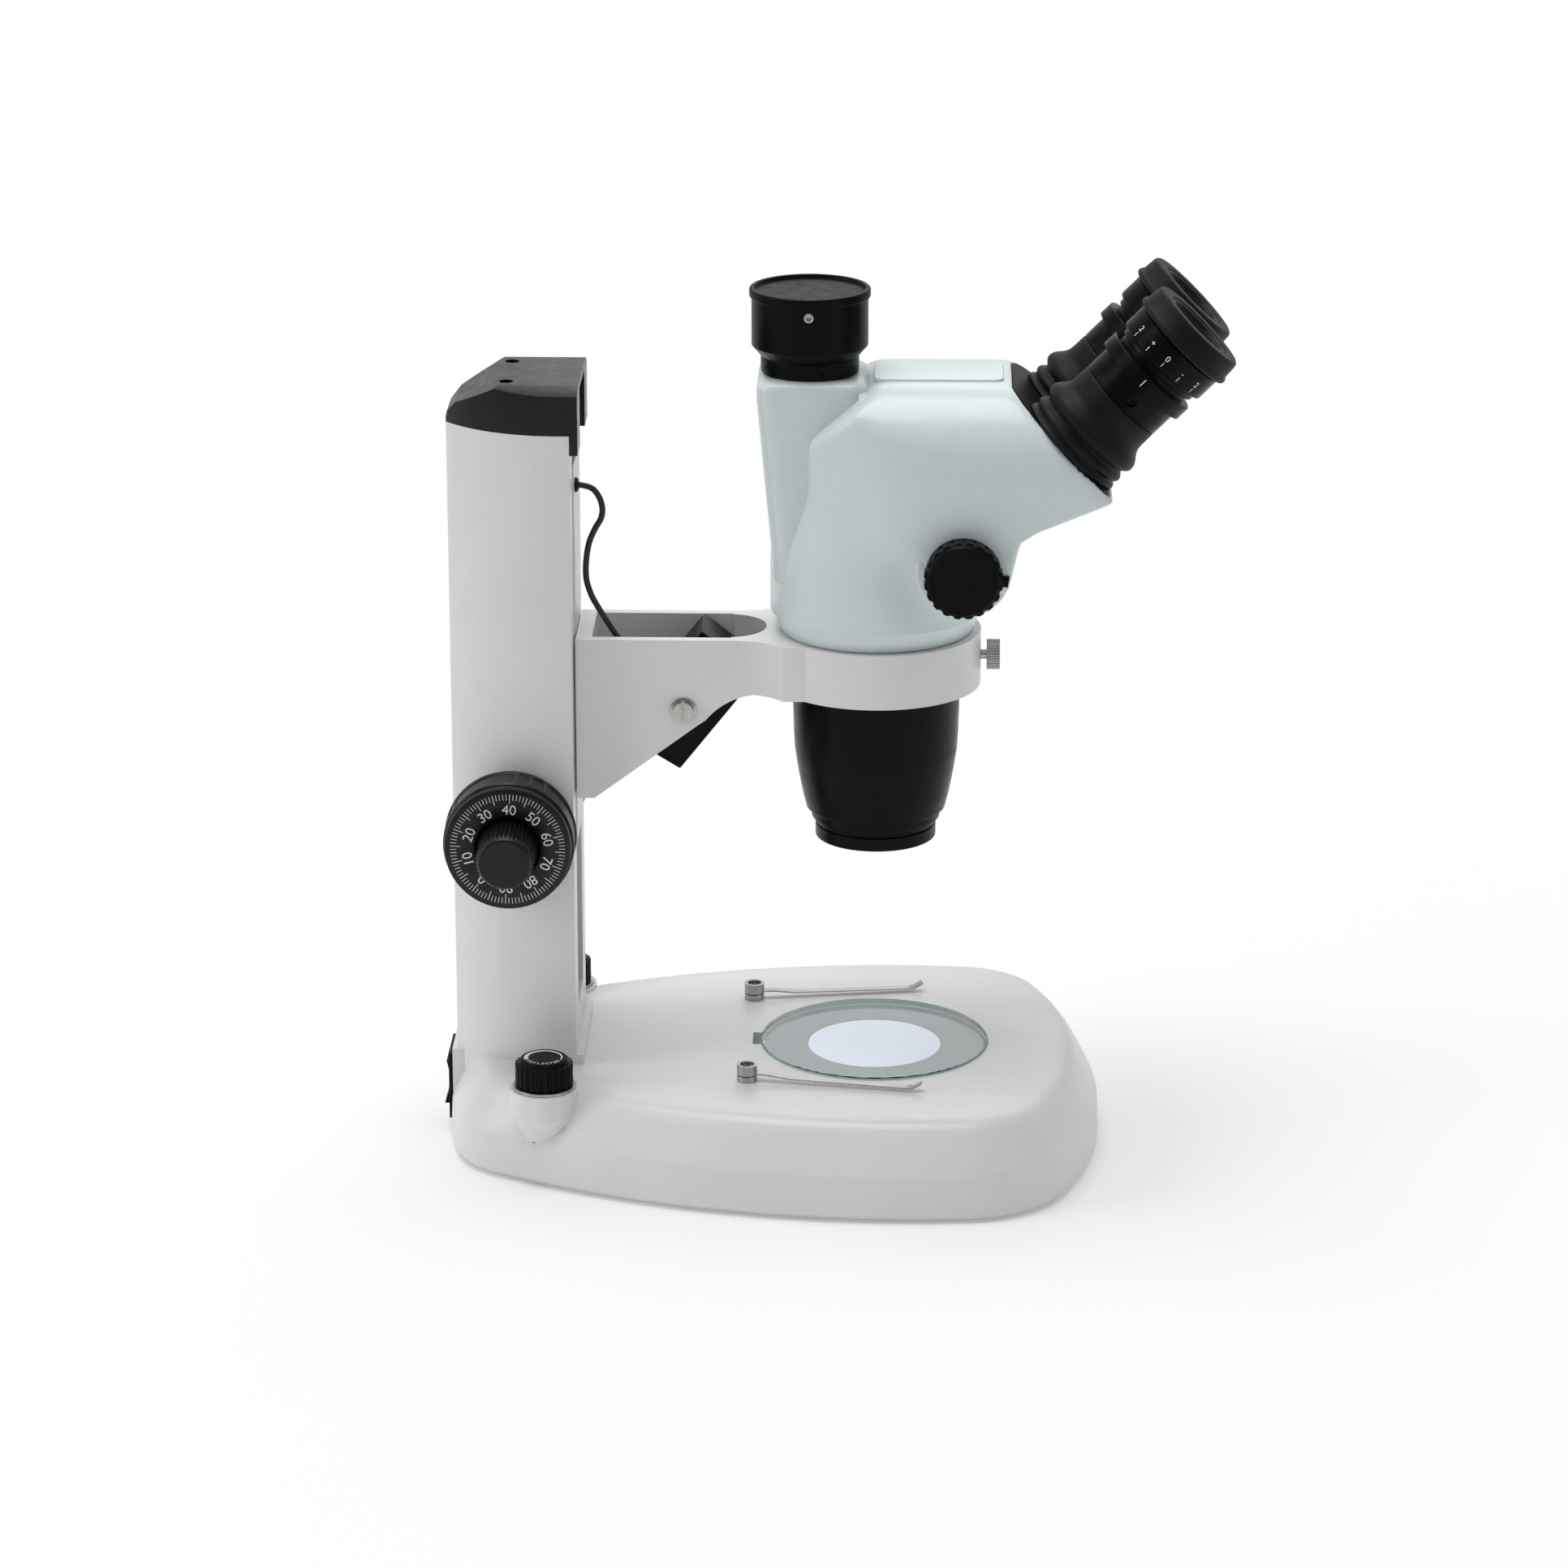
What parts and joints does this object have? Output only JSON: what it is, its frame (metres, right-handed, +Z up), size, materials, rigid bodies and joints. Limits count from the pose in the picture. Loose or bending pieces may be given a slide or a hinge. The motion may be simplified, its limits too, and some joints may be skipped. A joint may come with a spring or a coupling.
{
  "type": "trinocular stereo microscope",
  "caption": "Stereo zoom microscope with a photo port on a column stand, with a lit round stage, a tilting upper lamp, focus knobs and swinging rubber-cupped eyetubes.",
  "frame": {"origin": "at table height under the middle of the bounding box", "axes": "+X to the front, where the eyepieces and the stage are, +Y to the user's right, +Z up"},
  "size_m": [0.3234, 0.2148, 0.3681],
  "materials": {
    "stand_paint": "semi-gloss off-white paint",
    "head_paint": "fine satin light grey paint",
    "dark_plastic": "matte dark grey moulding",
    "black_plastic": "satin black moulding",
    "black_metal": "satin black anodised",
    "steel": "bright turned steel",
    "slider_metal": "ground satin grey",
    "bronze": "plain bearing bronze",
    "rubber_black": "soft matte rubber",
    "glass_clear": "polished",
    "coated_glass": "anti-reflection coated",
    "diffuser_white": "milky translucent",
    "mask_grey": "matte grey",
    "board_green": "solder mask",
    "cable_jacket": "flexible jacket"
  },
  "bodies": {
    "stand": {"base_casting": "stand_paint", "bottom_plate": "dark_plastic", "rubber_feet": "rubber_black", "column_shell": "stand_paint", "column_cap": "dark_plastic", "cap_screws": "steel", "guide_rails": "steel", "pinion_bushes": "bronze", "circuit_boards": "board_green", "light_diffuser": "diffuser_white", "stage_mask_ring": "mask_grey", "potentiometers": "steel", "dc_inlet": "black_plastic", "switch_bezel": "black_plastic", "clip_posts": "steel"},
    "carriage": {"focus_slider": "slider_metal", "focus_rack": "steel", "arm_casting": "stand_paint", "lamp_cable": "cable_jacket", "cable_gland": "black_plastic", "lamp_pivot_screws": "steel"},
    "coarse_focus": {"pinion_shaft": "steel", "coarse_knobs": "black_plastic"},
    "fine_focus": {"fine_shaft": "steel", "fine_dials": "black_plastic"},
    "lamp": {"lamp_housing": "black_plastic", "lamp_lens": "glass_clear"},
    "clamp": {"clamp_screw": "steel"},
    "head": {"head_base_ring": "head_paint", "main_housing": "head_paint", "top_cover": "head_paint", "tower_housing": "head_paint", "front_plate": "black_metal", "objective_barrel": "black_metal", "nose_ring": "black_metal", "objective_lens": "coated_glass", "prisms": "glass_clear", "port_ring": "black_metal", "port_tube": "black_metal", "port_set_screw": "steel", "boot_left": "rubber_black", "boot_right": "rubber_black"},
    "zoom": {"zoom_shaft": "steel", "zoom_knobs": "black_plastic"},
    "drum": {"zoom_drum": "bronze"},
    "tube_left": {"eyetube_left": "black_metal"},
    "tube_right": {"eyetube_right": "black_metal"},
    "eyepiece_left": {"dioptre_ring_left": "black_metal", "eyecup_left": "rubber_black", "eye_lens_left": "coated_glass"},
    "eyepiece_right": {"dioptre_ring_right": "black_metal", "eyecup_right": "rubber_black", "eye_lens_right": "coated_glass"},
    "cap": {"dust_cap": "black_plastic"},
    "glass": {"stage_plate": "glass_clear"},
    "clip_left": {"stage_clip_left": "steel"},
    "clip_right": {"stage_clip_right": "steel"},
    "dimmer_left": {"brightness_knob_left": "black_plastic"},
    "dimmer_right": {"brightness_knob_right": "black_plastic"},
    "rocker": {"power_rocker": "black_plastic"}
  },
  "joints": [
    {"name": "focus_slide", "type": "slide", "parent": "stand", "child": "carriage", "axis": [0, 0, 1], "range_m": [-0.06, 0.012]},
    {"name": "coarse_turn", "type": "hinge", "parent": "stand", "child": "coarse_focus", "pos_m": [-0.1297, 0, 0.1406], "axis": [0, -1, 0], "range_deg": [-345, 70]},
    {"name": "fine_turn", "type": "hinge", "parent": "coarse_focus", "child": "fine_focus", "pos_m": [-0.1297, 0, 0.1406], "axis": [0, -1, 0], "continuous": true},
    {"name": "lamp_tilt", "type": "hinge", "parent": "carriage", "child": "lamp", "pos_m": [-0.0595, 0, 0.19], "axis": [0, 1, 0], "range_deg": [-12, 12]},
    {"name": "clamp_turn", "type": "hinge", "parent": "carriage", "child": "clamp", "pos_m": [0.069, 0, 0.20835], "axis": [1, 0, 0], "range_deg": [-20, 340]},
    {"name": "head_turn", "type": "hinge", "parent": "carriage", "child": "head", "pos_m": [0.019, 0, 0.2197], "axis": [0, 0, 1], "range_deg": [-140, 140]},
    {"name": "zoom_turn", "type": "hinge", "parent": "head", "child": "zoom", "pos_m": [0.054, 0, 0.256], "axis": [0, 1, 0], "range_deg": [-120, 150]},
    {"name": "zoom_drum_turn", "type": "hinge", "parent": "head", "child": "drum", "pos_m": [0.019, 0, 0.235], "axis": [0, 0, 1], "range_deg": [-31, 39]},
    {"name": "eyetube_left_swing", "type": "hinge", "parent": "head", "child": "tube_left", "pos_m": [0.10933, -0.026, 0.29017], "axis": [0.7071, 0, 0.7071], "range_deg": [0, 35], "deforming": ["boot_left"]},
    {"name": "eyetube_right_swing", "type": "hinge", "parent": "head", "child": "tube_right", "pos_m": [0.10933, 0.026, 0.29017], "axis": [0.7071, 0, 0.7071], "range_deg": [-35.5, 0.5], "deforming": ["boot_right"]},
    {"name": "dioptre_left_turn", "type": "hinge", "parent": "tube_left", "child": "eyepiece_left", "pos_m": [0.13337, -0.026, 0.33967], "axis": [0.7071, 0, 0.7071], "range_deg": [-120, 120]},
    {"name": "dioptre_right_turn", "type": "hinge", "parent": "tube_right", "child": "eyepiece_right", "pos_m": [0.13337, 0.026, 0.33967], "axis": [0.7071, 0, 0.7071], "range_deg": [-120, 120]},
    {"name": "dust_cap_lift", "type": "slide", "parent": "head", "child": "cap", "axis": [0, 0, 1], "range_m": [0, 0.06]},
    {"name": "stage_plate_lift", "type": "slide", "parent": "stand", "child": "glass", "axis": [0, 0, 1], "range_m": [0, 0.03]},
    {"name": "clip_left_swing", "type": "hinge", "parent": "stand", "child": "clip_left", "pos_m": [-0.0329, -0.0487, 0.042], "axis": [0, 0, -1], "range_deg": [-35, 20]},
    {"name": "clip_right_swing", "type": "hinge", "parent": "stand", "child": "clip_right", "pos_m": [-0.0329, 0.0487, 0.042], "axis": [0, 0, 1], "range_deg": [-35, 20]},
    {"name": "brightness_left_turn", "type": "hinge", "parent": "stand", "child": "dimmer_left", "pos_m": [-0.1156, -0.062, 0.042], "axis": [0, 0, 1], "range_deg": [-135, 135]},
    {"name": "brightness_right_turn", "type": "hinge", "parent": "stand", "child": "dimmer_right", "pos_m": [-0.1156, 0.062, 0.042], "axis": [0, 0, 1], "range_deg": [-135, 135]},
    {"name": "power_rocker_turn", "type": "hinge", "parent": "stand", "child": "rocker", "pos_m": [-0.154, 0, 0.021], "axis": [0, -1, 0], "range_deg": [0, 10]}
  ],
  "couplings": [
    {"joint": "coarse_turn", "follows": "focus_slide", "rad_per_m": 100},
    {"joint": "zoom_drum_turn", "follows": "zoom_turn", "ratio": 0.25},
    {"joint": "eyetube_right_swing", "follows": "eyetube_left_swing", "ratio": -1}
  ]
}
